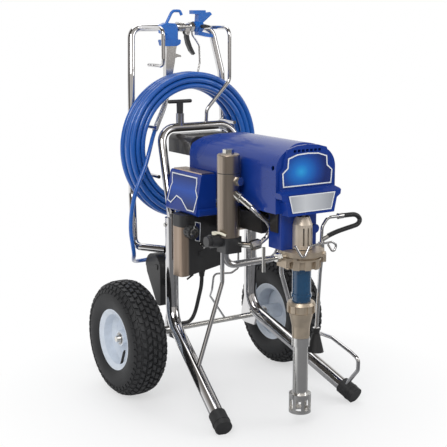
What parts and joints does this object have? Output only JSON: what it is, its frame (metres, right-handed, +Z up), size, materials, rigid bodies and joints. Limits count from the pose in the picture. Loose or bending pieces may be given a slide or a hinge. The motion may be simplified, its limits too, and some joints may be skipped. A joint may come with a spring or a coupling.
{
  "type": "airless paint sprayer on a two-wheel cart",
  "caption": "Electric airless paint sprayer: blue motor cover, vertical piston pump, filter, spray gun and coiled hose on a chrome tube cart with turf tyres.",
  "frame": {"origin": "on the floor under the middle of the machine, measured without its hoses and cord", "axes": "+Z up; -Y towards the pump and the front; +X to the machine's own left-hand side seen from behind, the viewer's right from the front"},
  "size_m": [0.6544, 0.819, 1.0867],
  "materials": {
    "chrome_tube": "bright chrome plate",
    "cap_rubber": "matt",
    "axle_steel": "satin zinc",
    "dark_steel": "satin black",
    "tyre_rubber": "matt",
    "rim_paint": "satin enamel",
    "gear_steel": "oiled",
    "box_plastic": "grained",
    "cover_blue": "high gloss",
    "plate_metal": "brushed, bare",
    "motor_black": "satin black",
    "core_iron": "laminated",
    "housing_blue": "gloss enamel",
    "tube_steel": "polished stainless",
    "zinc_casting": "as cast, warm zinc plate",
    "sleeve_blue": "gloss enamel",
    "filter_steel": "turned nickel plate",
    "lever_plastic": "cream",
    "hose_black": "smooth",
    "board_green": "board",
    "cord_black": "matt jacket",
    "gun_metal": "polished casting",
    "gun_blue": "gloss",
    "hose_blue": "smooth jacket"
  },
  "bodies": {
    "cart": {"leg_tube_left": "chrome_tube", "leg_tube_right": "chrome_tube", "foot_caps": "cap_rubber", "arch_tube": "chrome_tube", "rear_handle": "chrome_tube", "hose_rack": "chrome_tube", "axle": "axle_steel", "bent_rods": "chrome_tube", "drive_cradle": "chrome_tube", "fasteners": "axle_steel", "bearings_and_packings": "gear_steel", "tool_box": "box_plastic", "motor_shroud": "cover_blue", "cover_plates": "plate_metal", "motor_housing": "motor_black", "motor_stator": "core_iron", "drive_housing": "housing_blue", "rod_cover": "zinc_casting", "pump_mount": "zinc_casting", "pump_cylinder": "sleeve_blue", "intake_housing": "zinc_casting", "intake_tube": "tube_steel", "strainer": "tube_steel", "filter_bowl": "filter_steel", "filter_cap": "filter_steel", "filter_element": "tube_steel", "fluid_manifold": "dark_steel", "fluid_fittings": "axle_steel", "pressure_tube": "chrome_tube", "drain_tube": "chrome_tube", "drain_hose": "hose_black", "control_box": "cover_blue", "circuit_board": "board_green", "electric_box": "box_plastic", "power_cord": "cord_black", "cord_coil": "cord_black", "cord_plug": "cord_black", "gun_body": "gun_metal", "gun_cover": "gun_blue", "tip_guard": "gun_blue", "whip_hose": "hose_blue", "hose_coil": "hose_blue"},
    "wheel_left": {"tyre_left": "tyre_rubber", "rim_left": "rim_paint"},
    "wheel_right": {"tyre_right": "tyre_rubber", "rim_right": "rim_paint"},
    "pull_pin": {"pin_knob": "dark_steel"},
    "lid": {"tool_box_lid": "box_plastic"},
    "rotor": {"motor_rotor": "core_iron"},
    "reduction": {"reduction_gear": "gear_steel"},
    "crank": {"crank_gear": "gear_steel"},
    "rod_link": {"connecting_rod": "gear_steel"},
    "piston_rod": {"pump_rod": "tube_steel"},
    "ball": {"intake_ball": "tube_steel"},
    "clamp": {"clamp_handle": "axle_steel"},
    "prime": {"prime_lever": "lever_plastic"},
    "knob": {"pressure_knob": "box_plastic"},
    "toggle": {"switch_toggle": "axle_steel"},
    "trigger": {"gun_trigger": "dark_steel"},
    "tip": {"spray_tip": "box_plastic"}
  },
  "joints": [
    {"name": "wheel_left_spin", "type": "hinge", "parent": "cart", "child": "wheel_left", "pos_m": [-0.272, 0.1595, 0.165], "axis": [1, 0, 0], "continuous": true},
    {"name": "wheel_right_spin", "type": "hinge", "parent": "cart", "child": "wheel_right", "pos_m": [0.272, 0.1595, 0.165], "axis": [1, 0, 0], "continuous": true},
    {"name": "rotor_spin", "type": "hinge", "parent": "cart", "child": "rotor", "pos_m": [0, -0.1005, 0.612], "axis": [0, 1, 0], "continuous": true},
    {"name": "reduction_spin", "type": "hinge", "parent": "cart", "child": "reduction", "pos_m": [-0.03677, -0.2755, 0.64286], "axis": [0, 1, 0], "continuous": true},
    {"name": "crank_spin", "type": "hinge", "parent": "cart", "child": "crank", "pos_m": [0, -0.2755, 0.598], "axis": [0, 1, 0], "continuous": true},
    {"name": "piston_rod_slide", "type": "slide", "parent": "cart", "child": "piston_rod", "axis": [0, 0, 1], "range_m": [0, 0.044]},
    {"name": "connecting_rod_swing", "type": "hinge", "parent": "piston_rod", "child": "rod_link", "pos_m": [0, -0.3005, 0.512], "axis": [0, 1, 0], "range_deg": [-6, 6]},
    {"name": "intake_ball_lift", "type": "slide", "parent": "cart", "child": "ball", "axis": [0, 0, 1], "range_m": [0, 0.003]},
    {"name": "clamp_turn", "type": "hinge", "parent": "cart", "child": "clamp", "pos_m": [-0.1, -0.3005, 0.462], "axis": [1, 0, 0], "range_deg": [0, 360]},
    {"name": "prime_turn", "type": "hinge", "parent": "cart", "child": "prime", "pos_m": [-0.174, -0.1505, 0.51], "axis": [0, 0, -1], "range_deg": [0, 90]},
    {"name": "pressure_turn", "type": "hinge", "parent": "cart", "child": "knob", "pos_m": [-0.169, -0.0285, 0.493], "axis": [0, 1, 0], "range_deg": [0, 270]},
    {"name": "switch_flip", "type": "hinge", "parent": "cart", "child": "toggle", "pos_m": [-0.13, -0.0115, 0.452], "axis": [-1, 0, 0], "range_deg": [0, 38]},
    {"name": "trigger_pull", "type": "hinge", "parent": "cart", "child": "trigger", "pos_m": [0.03, 0.3195, 1.018], "axis": [0, 1, 0], "range_deg": [0, 14], "stiffness_Nm_per_rad": 1, "springref_deg": -5.73},
    {"name": "tip_turn", "type": "hinge", "parent": "cart", "child": "tip", "pos_m": [0.074, 0.3195, 1.0365], "axis": [0, 1, 0], "range_deg": [0, 180]},
    {"name": "pin_pull", "type": "slide", "parent": "cart", "child": "pull_pin", "axis": [0, 0, 1], "range_m": [0, 0.012], "stiffness_N_per_m": 500, "springref_m": -0.004},
    {"name": "lid_open", "type": "hinge", "parent": "cart", "child": "lid", "pos_m": [-0.133, 0.2605, 0.344], "axis": [-1, 0, 0], "range_deg": [0, 70]}
  ],
  "couplings": [
    {"joint": "reduction_spin", "follows": "rotor_spin", "ratio": -0.2},
    {"joint": "crank_spin", "follows": "rotor_spin", "ratio": 0.052174}
  ]
}
